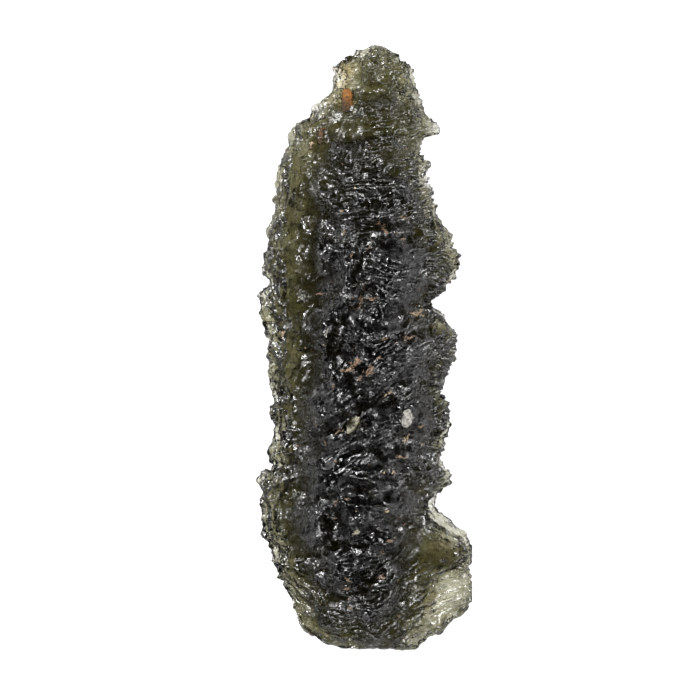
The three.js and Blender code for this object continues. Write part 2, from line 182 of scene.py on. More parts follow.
BENDS = ((1.1, (0.13, 0.32, 0.3)), (0.35, (0.5, 0.8, 0.8)))  # how far, and waves to a pitch each way
LINE_RISE = 0.5  # how fast the count rises with height
BREAKS, BREAK_RANGE = (0.22, 0.75, 0.6), (-0.6, 0.2)  # waves to a pitch each way, from none to full
SMALL_SHARE = 0.01  # a mark that counts less than this is left out
CREST_SHARPNESS = 1.5


class FlowMark:
    """One place where the direction of the flow lines is known."""

    def __init__(self, row):
        self.x, self.y, angle, self.strength = row
        turn = math.radians(angle)
        self.along = np.array((math.cos(turn), math.sin(turn)))
        self.across = np.array((-math.sin(turn), math.cos(turn)))

    def coordinates(self, points):
        """Each point as (distance along the lines, distance across them, height)."""
        flat = points[:, :2] - np.array((self.x, self.y))
        return np.stack([flat @ self.along, flat @ self.across, points[:, 2]], axis=1)


FLOW_MARKS = [FlowMark(row) for row in FLOW]


def flow_shares(points):
    """How much each flow mark counts at each point. The shares of a point add up to 1."""
    flat = wandering(points, 0.9, 1.6, 40)
    gaps = np.stack([np.hypot(flat[:, 0] - m.x, flat[:, 1] - m.y) for m in FLOW_MARKS], axis=1)
    nearer = gaps - gaps.min(axis=1, keepdims=True)
    shares = np.exp(-nearer / FLOW_BLEND)
    return shares / shares.sum(axis=1, keepdims=True)


def line_wave(mark, points, pitch, salt):
    """A count that rises by one from each line of the flow to the next. Crests are at the halves."""
    place = mark.coordinates(points) / pitch
    bend = np.zeros(len(points))
    for number, (reach, waves) in enumerate(BENDS):
        bend += reach * soft_noise(place * np.array(waves), salt + 3 + 2 * number)
    return place[:, 1] + LINE_RISE * place[:, 2] + bend


def line_show(mark, points, pitch, salt):
    """How much the lines show at each point: they break off here and there."""
    place = mark.coordinates(points) / pitch
    broken = ramp(soft_noise(place * np.array(BREAKS), salt + 7), *BREAK_RANGE)
    return mark.strength * broken


def flow_lines(points, shares, pitch, salt):
    """Sharp crests that run with the flow: 0 in the furrows, 1 on the crests, times how much they show."""
    total = np.zeros(len(points))
    for number, mark in enumerate(FLOW_MARKS):
        near = shares[:, number] > SMALL_SHARE
        wave = line_wave(mark, points[near], pitch, salt)
        crest = 1.0 - np.abs(2.0 * (wave - np.floor(wave)) - 1.0)
        shown = line_show(mark, points[near], pitch, salt)
        total[near] += shares[near, number] * crest**CREST_SHARPNESS * shown
    return total


# ---------------- the stone

ROWS_PER_STATION = 3  # each step along the stone is cut into this many before it is rounded
LENGTHWISE, CROSSWISE = 0.75, 0.66  # how much of an edge runs along the stone
UPPER_SIDE = -0.25  # faces whose normals point up by more than this are cut finer
JUST_INSIDE = 0.02  # mm under the skin where a ray starts
THIN_GLASS, THICK_GLASS = 0.1, 1.4  # mm of glass behind a point, with the least relief and with all of it
THIN_RELIEF = 0.35  # the relief's share where the glass is thin
CUP_SIZES = ((1.15, 0.46), (0.62, 0.28), (0.34, 0.15))  # mm apart, mm deep
CUP_WANDER, CUP_LEVEL = 0.25, 0.75  # how far the cups shift, and how high on them the skin lies
CUP_DEPTHS = (0.65, 0.35)  # the usual share of a cup's depth, and how much it changes
CUPS_LOST = 0.5  # how much of a small cup's depth the strongest flow lines take
LINE_SIZES = ((0.46, 0.34, 200), (0.27, 0.14, 250))  # mm apart, mm high, salt
LINE_LEVEL = 0.3  # the skin's level between the lines' furrows and crests
GRAIN = (0.18, 0.07)  # mm across, mm high
LIP = 0.24  # mm that the thin edge stands out past its worn cups
RIM_HEIGHT, RIM_REACH = 3.0, (1.3, 0.6)  # mm up, mm to either side and over which the lip fades
ENDS = (0.05, 0.6)  # mm from the two ends over which the relief grows
SEEN_FROM_ABOVE = (0.0, 0.3)  # how far a normal points up, from where placed marks start to show

# Single bright crests, each along a few points, in mm.
CRESTS = (
    ((-3.5, -16.5), (-2.6, -15.6), (-1.6, -14.9)),
    ((-0.5, -15.1), (0.4, -15.2), (1.2, -15.6)),
    ((-2.8, -18.0), (-1.2, -18.2), (0.4, -17.8), (1.8, -17.4), (3.4, -16.4)),
    ((-0.8, -19.1), (0.4, -19.5)),
    ((-4.8, -9.0), (-4.7, -10.2), (-3.6, -11.2)),
    ((-3.0, -9.8), (-2.3, -11.2), (-1.7, -12.6)),
    ((-0.8, -11.3), (1.0, -11.6), (2.4, -12.3), (3.6, -12.9)),
    ((-2.4, -8.6), (-1.4, -7.6), (0.2, -6.9), (1.8, -6.3)),
    ((0.3, 16.5), (1.6, 16.4), (3.0, 16.6)),
    ((1.2, 13.3), (2.6, 13.2), (4.0, 12.9)),
    ((-0.6, 10.6), (0.8, 10.4), (2.2, 10.5), (3.6, 11.0)),
    ((-2.0, 12.0), (-0.6, 12.4)),
    ((0.6, 6.9), (2.2, 6.4), (3.4, 5.9)),
    ((0.2, 3.4), (1.4, 2.6), (2.0, 2.0)),
    ((0.9, 0.6), (2.4, 1.1), (4.0, 1.9)),
    ((0.8, -3.6), (2.6, -3.2), (4.4, -3.5)),
)
CREST_WIDTH, CREST_HEIGHT = 0.16, 0.16  # mm

# Hollows that hold the yellow fillings and the pale flakes: x, y, half width, half length, turn, depth.
POCKETS = (
    (-1.27, 18.45, 0.60, 1.05, 4, 0.5),
    (-3.15, 15.9, 0.42, 0.65, -10, 0.3),
    (-0.88, -5.58, 0.45, 0.75, -30, 0.12),
    (3.2, -5.2, 0.38, 0.64, 2, 0.1),
)
POCKET_WALL = (0.55, 1.25)  # squared share of the half sizes, from the floor's edge to the skin


def distance_to_path(flat, path):
    """How far each flat point is from a line through the path's points."""
    nearest = np.full(len(flat), FAR)
    for start, end in zip(path, path[1:]):
        start, side = np.array(start), np.array(end) - np.array(start)
        part = np.clip((flat - start) @ side / (side @ side), 0.0, 1.0)
        nearest = np.minimum(nearest, np.linalg.norm(flat - start - part[:, None] * side, axis=1))
    return nearest


def single_crests(points, facing):
    """The raised bright lines that can be told apart on the upper side."""
    flat = wandering(points, 0.12, 0.5, 60)
    total = np.zeros(len(points))
    for path in CRESTS:
        total = np.maximum(total, np.exp(-((distance_to_path(flat, path) / CREST_WIDTH) ** 2)))
    return CREST_HEIGHT * total * ramp(facing, *SEEN_FROM_ABOVE)


def pocket_depth(points, facing):
    """The hollows that hold the fillings and the flakes."""
    total = np.zeros(len(points))
    for x, y, half_width, half_length, turn, depth in POCKETS:
        angle = math.radians(turn)
        flat = points[:, :2] - np.array((x, y))
        right = flat @ np.array((math.cos(angle), math.sin(angle))) / half_width
        ahead = flat @ np.array((-math.sin(angle), math.cos(angle))) / half_length
        inside = 1.0 - ramp(right**2 + ahead**2, *POCKET_WALL)
        total = np.maximum(total, depth * inside)
    return total * ramp(facing, *SEEN_FROM_ABOVE)


def glass_behind(mesh_tree, points, normals):
    """How thick the glass is behind each point, in mm."""
    depths = np.full(len(points), FAR)
    for index, (point, normal) in enumerate(zip(points, normals)):
        inward = Vector(-normal)
        hit, _, _, distance = mesh_tree.ray_cast(Vector(point) + inward * JUST_INSIDE, inward)
        if hit is not None:
            depths[index] = distance
    return depths


def run_along(edge):
    """How far an edge runs along the stone's length."""
    start, end = edge.verts
    return abs(start.co.y - end.co.y)


def split_edges(cage, chosen, cuts):
    """Cuts each chosen edge, and the faces between them, into equal parts."""
    bmesh.ops.subdivide_edges(cage, edges=chosen, cuts=cuts, use_grid_fill=True)


def welded_cage():
    """The frame's own stone, welded, squared up and cut finer along its length."""
    cage = bmesh.new()
    cage.from_mesh(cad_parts["moldavite"].data)
    bmesh.ops.remove_doubles(cage, verts=cage.verts, dist=1e-6)
    any_angle = {"angle_face_threshold": math.pi, "angle_shape_threshold": math.pi}
    bmesh.ops.join_triangles(cage, faces=cage.faces, **any_angle)
    lengthwise = [e for e in cage.edges if run_along(e) > LENGTHWISE * e.calc_length()]
    split_edges(cage, lengthwise, ROWS_PER_STATION - 1)
    mesh = bpy.data.meshes.new("stone_base")
    cage.to_mesh(mesh)
    cage.free()
    if "custom_normal" in mesh.attributes:
        mesh.attributes.remove(mesh.attributes["custom_normal"])
    return mesh


def rounded(mesh):
    """The mesh divided and rounded once, for editing."""
    carrier = put_in_scene("stone_base", mesh)
    rounding = carrier.modifiers.new("rounding", "SUBSURF")
    rounding.levels = rounding.render_levels = 1
    evaluated = carrier.evaluated_get(bpy.context.evaluated_depsgraph_get())
    fine = bmesh.new()
    fine.from_mesh(evaluated.to_mesh())
    evaluated.to_mesh_clear()
    bpy.data.objects.remove(carrier)
    bpy.data.meshes.remove(mesh)
    return fine


def smooth_base():
    """The frame's own stone, rounded and cut finer where it is seen from above."""
    fine = rounded(welded_cage())
    crosswise = [e for e in fine.edges if run_along(e) < CROSSWISE * e.calc_length()]
    split_edges(fine, [e for e in crosswise if all(f.normal.z > UPPER_SIDE for f in e.link_faces)], 1)
    axes = {"use_axis_" + axis: True for axis in "xyz"}
    bmesh.ops.smooth_vert(fine, verts=fine.verts, factor=0.5, **axes)
    smooth = bpy.data.meshes.new("moldavite_glass")
    fine.to_mesh(smooth)
    fine.free()
    return smooth


# Where the skin's frost differs from its usual 1: x, y, reach in mm, frost.
WORN = (
    (3.8, 19.2, 0.9, 0.5), (3.4, 15.4, 1.2, 0.4), (-4.2, 13.9, 1.0, 0.35), (3.0, 12.8, 1.1, 0.7),
    (1.5, 12.2, 1.2, 0.7), (2.6, 10.2, 0.9, 0.6), (-1.6, 9.0, 1.7, 0.3), (3.5, 8.2, 1.5, 0.7),
    (0.8, 7.0, 1.5, 0.6), (2.6, 6.0, 1.3, 0.6), (3.4, 3.6, 1.2, 0.6), (-1.4, 4.3, 1.1, 0.5),
    (1.7, 2.3, 1.7, 0.5), (0.8, 0.6, 1.4, 0.6), (-1.6, -3.8, 1.3, 0.5), (4.1, -4.5, 1.4, 0.35),
    (2.0, -6.3, 0.9, 0.6), (-2.1, -7.0, 1.0, 0.6), (4.2, -8.4, 1.3, 0.5), (-3.3, -8.9, 1.2, 0.3),
    (1.6, -10.6, 1.1, 0.6), (3.2, -11.3, 1.0, 0.7), (-4.6, -11.2, 0.9, 0.6), (-3.0, -11.9, 1.2, 0.6),
    (0.4, -13.3, 1.4, 0.7), (-3.6, -16.2, 1.0, 0.5), (-1.0, -15.4, 1.4, 0.7), (0.9, -14.9, 1.3, 0.6),
    (2.0, -16.3, 1.2, 0.3), (-5.4, -16.8, 1.0, 0.6), (-4.6, -19.0, 1.0, 0.5), (-1.2, -19.4, 1.2, 0.7),
    (3.9, -21.1, 1.0, 0.5), (0.2, 21.2, 1.1, 1.3), (-2.0, 20.3, 0.8, 1.5), (-3.6, 17.4, 0.9, 1.6),
    (-1.2, 17.0, 1.6, 1.5), (5.3, 16.2, 0.8, 1.6), (-3.5, 11.8, 1.1, 1.8), (-1.9, 16.2, 0.9, 1.3),
    (1.3, 17.9, 1.0, 1.3), (1.8, 14.2, 0.9, 1.3), (4.9, 12.9, 1.0, 2.0), (5.5, 8.4, 1.1, 1.3),
    (-6.9, 9.2, 0.9, 1.4), (-3.0, 6.5, 1.4, 1.3), (1.4, 9.3, 1.0, 1.6), (-5.1, 7.3, 1.3, 1.4),
    (-4.5, 3.9, 0.9, 0.6), (-5.3, 5.2, 1.1, 1.3), (-5.0, 1.8, 1.4, 1.4), (-5.0, -1.2, 1.4, 1.4),
    (-7.0, 6.4, 1.1, 1.4), (-7.3, 4.2, 1.1, 1.6), (5.8, 2.5, 0.8, 2.1), (-1.6, 2.7, 1.1, 1.3),
    (-6.9, -0.3, 1.2, 1.5), (4.9, 0.6, 1.1, 1.3), (2.8, -1.6, 0.9, 1.6), (5.0, -0.8, 0.9, 1.4),
    (5.8, -2.7, 0.9, 1.5), (-5.8, -3.2, 1.4, 1.3), (-2.6, -5.7, 0.9, 1.4), (1.4, -4.3, 1.0, 1.4),
    (-5.4, -6.2, 1.2, 1.4), (-0.2, -7.2, 1.1, 1.4), (-5.3, -9.3, 1.0, 1.6), (-4.9, -4.8, 1.1, 1.3),
    (-1.2, -10.2, 0.8, 1.3), (6.0, -9.2, 0.8, 1.5), (-5.8, -13.0, 1.2, 1.3), (-3.2, -14.7, 1.2, 1.3),
    (5.7, -13.6, 1.6, 2.2), (3.7, -14.6, 1.0, 1.8), (4.9, -12.8, 0.9, 1.6), (7.6, -15.0, 0.7, 1.5),
    (6.4, -17.8, 1.5, 1.6), (5.5, -19.6, 1.1, 2.2),
)

# Where iron has stained the glass: x, y, reach in mm, strength.
STAINED = (
    (-1.4, 20.9, 1.0, 1.0), (-1.5, 19.8, 0.9, 0.8), (-2.4, 18.6, 0.9, 0.5), (-4.0, 17.0, 0.7, 0.9),
    (-3.3, 15.4, 0.9, 0.6), (6.0, -15.2, 1.4, 0.45), (5.2, -19.0, 1.2, 0.35), (-0.2, 9.0, 1.6, 0.3),
    (3.0, 9.6, 1.3, 0.4),
)

# Painted shade: places where the glass's colour is darkened, so that less light comes through it there: x,
# y, reach in mm, strength.
PAINTED_SHADE_PLACES = (
    (-5.0, 12.0, 1.2, 0.5), (-4.8, 14.4, 1.2, 0.4), (-5.2, 10.0, 1.5, 1.0), (-5.0, 7.4, 1.4, 0.8),
    (-4.8, 4.4, 1.3, 1.0), (-4.8, 2.0, 1.3, 0.6), (-4.9, -1.0, 1.3, 0.4), (4.8, -14.8, 1.1, 0.6),
    (6.4, -15.6, 1.5, 0.7), (5.0, -16.6, 1.0, 0.6), (4.4, -21.0, 1.4, 0.8), (7.5, -19.3, 1.0, 0.7),
    (7.7, -16.4, 0.8, 0.7), (-5.2, -17.0, 1.3, 0.6), (-4.6, -19.2, 1.2, 0.7), (3.9, 19.4, 1.0, 0.6),
    (4.0, 15.6, 0.9, 0.6),
)
PLACE_FADE = (0.3, 1.2)  # share of a place's reach, from its full strength to none
LEAST_FROST = 0.2


def stone_relief(points, normals, behind):
    """How far the etched skin stands out of, or lies under, the smooth stone, in mm."""
    facing = normals[:, 2]
    room = ramp(behind, THIN_GLASS, THICK_GLASS)
    shares = flow_shares(points)
    height = np.zeros(len(points))
    lined = shares @ np.array([mark.strength for mark in FLOW_MARKS])
    usual, change = CUP_DEPTHS
    for number, (pitch, depth) in enumerate(CUP_SIZES):
        if number:
            depth = depth * (1.0 - CUPS_LOST * lined)
        wander = CUP_WANDER * soft_noise(points / pitch * 0.7, 80 + number)
        size = usual + change * soft_noise(points / (3.0 * pitch), 90 + number)
        height += depth * size * (cups(points / pitch + wander[:, None], 100 + 10 * number) - CUP_LEVEL)
    for pitch, tall, salt in LINE_SIZES:
        height += tall * (flow_lines(points, shares, pitch, salt) - LINE_LEVEL)
    size, tall = GRAIN
    height += tall * rough_noise(points / size, 130, 2)
    height = height * (THIN_RELIEF + (1.0 - THIN_RELIEF) * room)
    height += single_crests(points, facing) * room
    height -= pocket_depth(points, facing) * room
    reach, fade = RIM_REACH
    height += LIP * (1.0 - np.abs(facing)) * ramp(reach - np.abs(points[:, 2] - RIM_HEIGHT), 0.0, fade)
    along = np.abs(points[:, 1])
    return height * ramp(along.max() - along, *ENDS)


def write_flow(mesh, points):
    """Gives every face corner its place among the flow lines, for the finish to follow the carved ones."""
    corners = np.empty(len(mesh.loops), np.int32)
    mesh.loops.foreach_get("vertex_index", corners)
    sides = np.empty(len(mesh.polygons), np.int32)
    mesh.polygons.foreach_get("loop_total", sides)
    face_of = np.repeat(np.arange(len(mesh.polygons)), sides)
    middles = np.empty(len(mesh.polygons) * 3)
    mesh.polygons.foreach_get("center", middles)
    chosen = flow_shares(middles.reshape(-1, 3) / MM).argmax(axis=1)[face_of]
    places = points[corners]
    waves = np.zeros((len(corners), 3))
    shows = np.zeros((len(corners), 3))
    for number, mark in enumerate(FLOW_MARKS):
        mine = chosen == number
        for column, (pitch, _, salt) in enumerate(LINE_SIZES):
            waves[mine, column] = line_wave(mark, places[mine], pitch, salt)
            shows[mine, column] = line_show(mark, places[mine], pitch, salt)
        shows[mine, 2] = mark.strength
    store(mesh, "line_wave", "CORNER", waves)
    store(mesh, "line_show", "CORNER", shows)


def nearness(flat, x, y, reach):
    """1 at a place on the stone, falling to 0 a little past its reach."""
    return 1.0 - ramp(np.hypot(flat[:, 0] - x, flat[:, 1] - y) / reach, *PLACE_FADE)


def write_wear_and_shade(mesh, points):
    """Gives every point its shares of frost, stain and painted shade."""
    flat = wandering(points, 0.35, 0.9, 70)
    wear_and_shade = np.zeros((len(points), 3))
    wear_and_shade[:, 0] = 1.0
    for x, y, reach, frost in WORN:
        wear_and_shade[:, 0] += nearness(flat, x, y, reach) * (frost - 1.0)
    # column 1 is a real stain; column 2 is painted shade that darkens the glass
    for column, places in ((1, STAINED), (2, PAINTED_SHADE_PLACES)):
        for x, y, reach, strength in places:
            wear_and_shade[:, column] = np.maximum(wear_and_shade[:, column], nearness(flat, x, y, reach) * strength)
    wear_and_shade[:, 0] = np.maximum(wear_and_shade[:, 0], LEAST_FROST)
    store(mesh, "wear_and_shade", "POINT", wear_and_shade)


def make_stone():
    """The whole stone with its etched skin, inside the frame's box."""
    mesh = smooth_base()
    smooth_points, normals = mesh_values(mesh, "co") / MM, mesh_values(mesh, "normal")
    behind = glass_behind(search_tree(mesh), smooth_points, normals)
    points = smooth_points + normals * stone_relief(smooth_points, normals, behind)[:, None]
    mesh.vertices.foreach_set("co", (np.clip(points, *stone_box()) * MM).ravel())
    mesh.update()
    write_flow(mesh, smooth_points)
    write_wear_and_shade(mesh, smooth_points)
    shade_smooth(mesh)
    mesh.materials.clear()
    mesh.materials.append(green_glass())
    return put_in_scene("moldavite_glass", mesh)


# ---------------- dirt in the pits

# Colours as red, green and blue from 0 to 255, as they look.
TAN, PINK, CREAM, BROWN = (152, 130, 106), (148, 122, 102), (206, 184, 154), (88, 70, 54)
OCHRE, DARK_OCHRE, PALE, GREY = (138, 88, 28), (62, 40, 8), (178, 173, 152), (158, 155, 148)
RUSTY, DARK_RUST = (92, 62, 28), (62, 42, 14)

# Clay on the upper side: x, y, half length, half width, turn, colour.
CLAY = (
    (-4.0, 15.2, 0.3, 0.2, 70, CREAM), (1.2, 9.2, 0.42, 0.22, -20, PINK),
    (-1.7, 10.1, 0.22, 0.16, 30, TAN), (3.0, 9.7, 0.3, 0.16, 20, PINK),
    (-1.5, 8.5, 0.28, 0.16, 60, TAN), (1.5, 8.7, 0.34, 0.18, -30, PINK),
    (2.9, 8.1, 0.24, 0.16, 0, TAN), (2.8, 7.6, 0.2, 0.14, 40, PINK),
    (0.4, 7.5, 0.3, 0.14, 80, PINK), (-0.9, 6.9, 0.2, 0.14, 80, TAN),
    (-3.3, 4.05, 0.3, 0.16, 0, PINK), (-0.15, 3.6, 0.62, 0.17, 68, TAN),
    (0.0, 4.5, 0.26, 0.12, 80, PINK), (0.56, 3.6, 0.46, 0.16, 4, PINK),
    (-0.85, 3.7, 0.18, 0.14, 50, TAN), (-0.72, 2.96, 0.24, 0.17, 25, TAN),
    (4.0, 2.6, 0.44, 0.4, 20, CREAM), (3.2, 0.8, 0.52, 0.2, 15, PINK),
    (1.6, 0.7, 0.3, 0.16, 20, TAN), (5.0, 1.6, 0.5, 0.12, 8, TAN),
    (5.5, 1.9, 0.22, 0.12, 20, PINK), (-6.1, 1.1, 0.3, 0.22, 60, CREAM),
    (-3.8, -0.1, 0.2, 0.14, 80, TAN), (-0.7, -1.0, 0.42, 0.28, 40, PINK),
    (-1.2, -1.6, 0.46, 0.26, 20, TAN), (0.4, -1.6, 0.56, 0.24, 35, PINK),
    (1.0, -0.7, 0.3, 0.14, 40, PINK), (-0.3, -2.2, 0.26, 0.16, 0, PINK),
    (-2.3, -2.7, 0.2, 0.14, 60, TAN), (1.75, -3.25, 0.34, 0.17, 38, CREAM),
    (4.1, -5.75, 0.24, 0.2, 0, TAN), (-2.9, -6.9, 0.26, 0.13, -60, TAN),
    (-5.0, -7.3, 0.16, 0.14, 0, TAN), (-1.95, -6.1, 0.3, 0.16, 30, TAN),
    (-1.55, -5.9, 0.2, 0.13, 70, CREAM), (3.15, -6.6, 0.48, 0.17, 70, CREAM),
    (4.3, -7.1, 0.16, 0.14, 0, CREAM), (-2.1, -8.2, 0.2, 0.13, 30, PINK),
    (2.7, -8.0, 0.5, 0.16, -8, TAN), (2.1, -9.1, 0.24, 0.17, 40, CREAM),
    (-1.2, -11.0, 0.2, 0.15, 0, TAN), (-2.2, -11.4, 0.26, 0.14, 50, PINK),
    (-2.2, -12.5, 0.16, 0.13, 0, TAN), (1.5, -11.9, 0.19, 0.17, 0, CREAM),
    (-0.6, -13.35, 0.24, 0.21, 20, PALE), (2.6, -12.4, 0.16, 0.13, 0, TAN),
    (3.0, -13.0, 0.2, 0.13, 40, PINK), (1.9, -14.2, 0.26, 0.17, 0, PINK),
    (1.2, -15.0, 0.36, 0.11, -8, TAN), (-1.2, -16.9, 0.2, 0.15, 0, TAN),
    (1.2, -16.9, 0.36, 0.22, 20, PINK), (2.5, -17.2, 0.2, 0.14, 30, TAN),
    (-1.2, -17.75, 0.28, 0.17, 0, PINK), (-1.1, -18.5, 0.18, 0.14, 60, TAN),
    (-1.0, -19.2, 0.16, 0.13, 0, CREAM),
)
CRUMB_SPREAD, CRUMB_COUNT = 0.009, (2, 16)  # square mm of a smear for each of its crumbs, fewest and most
CRUMB_ALONG, CRUMB_ACROSS = 0.85, 0.4  # how far from the smear's middle, in its half sizes
CRUMB_HALF, CRUMB_LONG, CRUMB_WIDE = (0.4, 0.8), (1.1, 1.9), 0.6  # share of the smear's width, then of that
CRUMB_TURN = 22  # degrees
BROWNED = (0.0, 0.6)  # share of brown in a crumb's colour
CRUMB_NET = (3, 9)  # rings and spokes
SMALL_CLAY = 150  # single crumbs all over the stone
SMALL_HALVES = ((0.08, 0.24), (0.05, 0.10))  # mm, half length of a small crumb below and above
FACING_DOWN = -0.5
AIM_HEIGHT, AIM_FROM = 3.2, 14  # mm up that a small crumb is aimed at, and mm away from there
BIG_NET = (14, 40)
LEAN = 0.6  # how much of the skin's slope a flat-bottomed lump takes
STRAY = 1.2  # half lengths that a point of a soft patch may land away from its place
HEIGHT_GRAIN, COLOUR_GRAIN = 0.35, 0.22  # how much grain changes a patch's height and colour
EDGE_SINK = 0.03  # mm that a patch's edge lies under the skin
UP = (0, 0, 1)
ABOVE = 20.0  # mm, well over the stone

# Of a patch that follows the skin, and of a flat-bottomed lump.
EDGE_WANDER = (0.5, 0.34)  # share of its half sizes
DROP_HEIGHT = (1.5, 4.0)  # mm over its middle, from where its points are dropped on the skin
UNDERSIDE = (0.12, 0.5)  # mm from its level down to its lower side

# Rust-yellow fillings: x, y, half length and width, turn, height, colours, salt, squareness, how buried.
RUST = (
    (-1.26, 18.45, (0.98, 0.46), 93, 0.08, (OCHRE, DARK_OCHRE), 901, 2.8, 88),
    (-3.12, 16.3, (0.20, 0.34), 100, 0.03, (RUSTY, DARK_RUST), 905, 1.8, 60),
    (-3.22, 15.75, (0.56, 0.22), 86, 0.03, (RUSTY, DARK_RUST), 907, 1.8, 60),
)

# Pale flakes: x, y, half length and width, turn, colour, salt, squareness.
FLAKES = (
    (-0.88, -5.58, (0.78, 0.40), 62, PALE, 950, 1.7),
    (3.1, -5.2, (0.60, 0.34), 84, GREY, 957, 2.4),
)
FLAKE_HEIGHT, FLAKE_BURIED = 0.16, 95  # mm, and per cent of the skin under it that lies lower


def as_light(colour):
    """A colour from 0 to 255, as it looks, as the light amounts that materials take."""
    part = np.array(colour) / 255.0
    return np.where(part <= 0.04045, part / 12.92, ((part + 0.055) / 1.055) ** 2.4)


class Crust:
    """Closed patches that lie on the stone, gathered as one mesh."""

    def __init__(self, skin):
        self.skin = skin
        self.points, self.faces, self.tints = [], [], []

    def drop(self, point, down):
        """Where a line from the point, in the direction down, meets the stone."""
        hit = self.skin.ray_cast(Vector(point), Vector(down))[0]
        return None if hit is None else np.array(hit)

    def add(self, middle, up, size, turn, tall, tint, net, salt, fullness=2.0, buried=None):
        """
        A patch round a place on the stone. tint gives a colour for each place (across, along). The patch
        follows the skin's shape, or is a flat-bottomed lump when buried tells how many per cent of the skin
        under it lie lower than its level.
        """
        stiff = buried is not None
        up = np.array(up) / np.linalg.norm(up)
        side = np.cross((0.0, 1.0, 0.0) if abs(up[1]) < 0.9 else (1.0, 0.0, 0.0), up)
        side /= np.linalg.norm(side)
        ahead = np.cross(up, side)
        angle = math.radians(turn)
        long_way = side * math.cos(angle) + ahead * math.sin(angle)
        wide_way = ahead * math.cos(angle) - side * math.sin(angle)
        landings, rises, tints = [], [], []
        for out, cosine, sine in net_marks(*net):
            reach = (abs(cosine) ** fullness + abs(sine) ** fullness) ** (-1.0 / fullness)
            edge = rough_noise(np.array([[1.1 * cosine + salt, 1.1 * sine, 0.37 * salt]]), salt, 2)[0]
            reach *= out * (1.0 + EDGE_WANDER[stiff] * edge)
            across, along = reach * sine, reach * cosine
            place = middle + long_way * along * size[0] + wide_way * across * size[1]
            landed = self.drop(place + up * DROP_HEIGHT[stiff], -up)
            if landed is None or not stiff and np.linalg.norm(landed - place) > STRAY * size[0]:
                landed = place
            grain = soft_noise(place[None] / 0.09, salt + 1)[0]
            grain += 0.6 * soft_noise(place[None] / 0.22, salt + 2)[0]
            landings.append(landed)
            rises.append(tall * max(0.0, 1.0 - out**4) * (1.0 + HEIGHT_GRAIN * grain) - EDGE_SINK * out)
            tints.append(tint(across, along) * (1.0 + COLOUR_GRAIN * grain))
        landings, rises = np.array(landings), np.array(rises)
        if stiff:
            landings = levelled(landings, middle, up, side, ahead, buried)
        self.faces += patch_faces(len(self.points), len(landings), *net)
        self.points += list(landings + up * rises[:, None]) + list(landings - up * UNDERSIDE[stiff])
        self.tints += tints * 2


def net_marks(rings, spokes):
    """The marks of a round net: how far out each is, and the cosine and sine of its way."""
    marks = [(0.0, 1.0, 0.0)]
    for ring in range(1, rings + 1):
        for spoke in range(spokes):
            way = math.tau * spoke / spokes
            marks.append((ring / rings, math.cos(way), math.sin(way)))
    return marks


def levelled(landings, middle, up, side, ahead, buried):
    """The landings, moved up or down to one slightly leaning level."""
    heights = (landings - middle) @ up
    flat = landings - heights[:, None] * up
    spread = np.column_stack([(flat - middle) @ side, (flat - middle) @ ahead, np.ones(len(flat))])
    level = LEAN * (spread @ np.linalg.lstsq(spread, heights, rcond=None)[0])
    level += np.percentile(heights - level, buried)
    return flat + level[:, None] * up


def patch_faces(start, count, rings, spokes):
    """The faces of a patch: its upper side, its lower side and the rim between them."""
    faces = []
    for shift, flip in ((0, False), (count, True)):
        first = start + shift
        for spoke in range(spokes):
            after = (spoke + 1) % spokes
            fan = (first, first + 1 + spoke, first + 1 + after)
            faces.append(fan[::-1] if flip else fan)
            for ring in range(rings - 1):
                inner, outer = first + 1 + ring * spokes, first + 1 + (ring + 1) * spokes
                quad = (inner + spoke, outer + spoke, outer + after, inner + after)
                faces.append(quad[::-1] if flip else quad)
    rim = start + 1 + (rings - 1) * spokes
    for spoke in range(spokes):
        after = (spoke + 1) % spokes
        faces.append((rim + after, rim + spoke, rim + count + spoke, rim + count + after))
    return faces


def crust_object(name, crust, material):
    """The gathered patches as a piece, inside the frame's box."""
    points = np.clip(np.array(crust.points), *stone_box())
    mesh = bpy.data.meshes.new(name)
    mesh.from_pydata((points * MM).tolist(), [], crust.faces)
    tints = np.clip(np.column_stack([np.array(crust.tints), np.ones(len(points))]), 0.0, 1.0)
    mesh.attributes.new("tint", "FLOAT_COLOR", "POINT").data.foreach_set("color", tints.ravel())
    shade_smooth(mesh)
    mesh.materials.append(material)
    mesh.update()
    piece = put_in_scene(name, mesh)
    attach(piece, "root")


def top_of(skin, x, y):
    """The stone's upper surface under a place seen from above."""
    return np.array(skin.ray_cast(Vector((x, y, ABOVE)), Vector((0, 0, -1)))[0])


def one_tint(light):
    """The same light amounts all over a patch."""
    return lambda across, along: light


def graded_tint(light_end, dark_end):
    """A colour that is darker at a patch's lower end and left side and lighter at its upper end."""

    def graded(across, along):
        share = ramp(np.array(along - 0.55 * across), -0.9, 0.9)
        return as_light(dark_end) * (1.0 - share) + as_light(light_end) * share

    return graded


def add_crumbs(crust, luck, spot, colour, number):
    """A smear of clay crumbs, most of them along one way."""
    x, y, long_half, wide_half, turn = spot
    angle = math.radians(turn)
    cosine, sine = math.cos(angle), math.sin(angle)
    count = int(np.clip(long_half * wide_half / CRUMB_SPREAD, *CRUMB_COUNT))
    for crumb in range(count):
        along = luck.uniform(-CRUMB_ALONG, CRUMB_ALONG) * long_half if crumb else 0.0
        across = luck.normal() * CRUMB_ACROSS * wide_half if crumb else 0.0
        middle = top_of(crust.skin, x + along * cosine - across * sine, y + along * sine + across * cosine)
        half = luck.uniform(*CRUMB_HALF) * min(wide_half, 0.2)
        shade = luck.uniform(*BROWNED)
        tint = one_tint(as_light(colour) * (1.0 - shade) + as_light(BROWN) * shade)
        size = half * luck.uniform(*CRUMB_LONG), CRUMB_WIDE * half
        lean = turn + luck.normal() * CRUMB_TURN
        tall, salt = 0.3 * half + 0.02, 300 + 20 * number + crumb
        crust.add(middle, UP, size, lean, tall, tint, CRUMB_NET, salt)


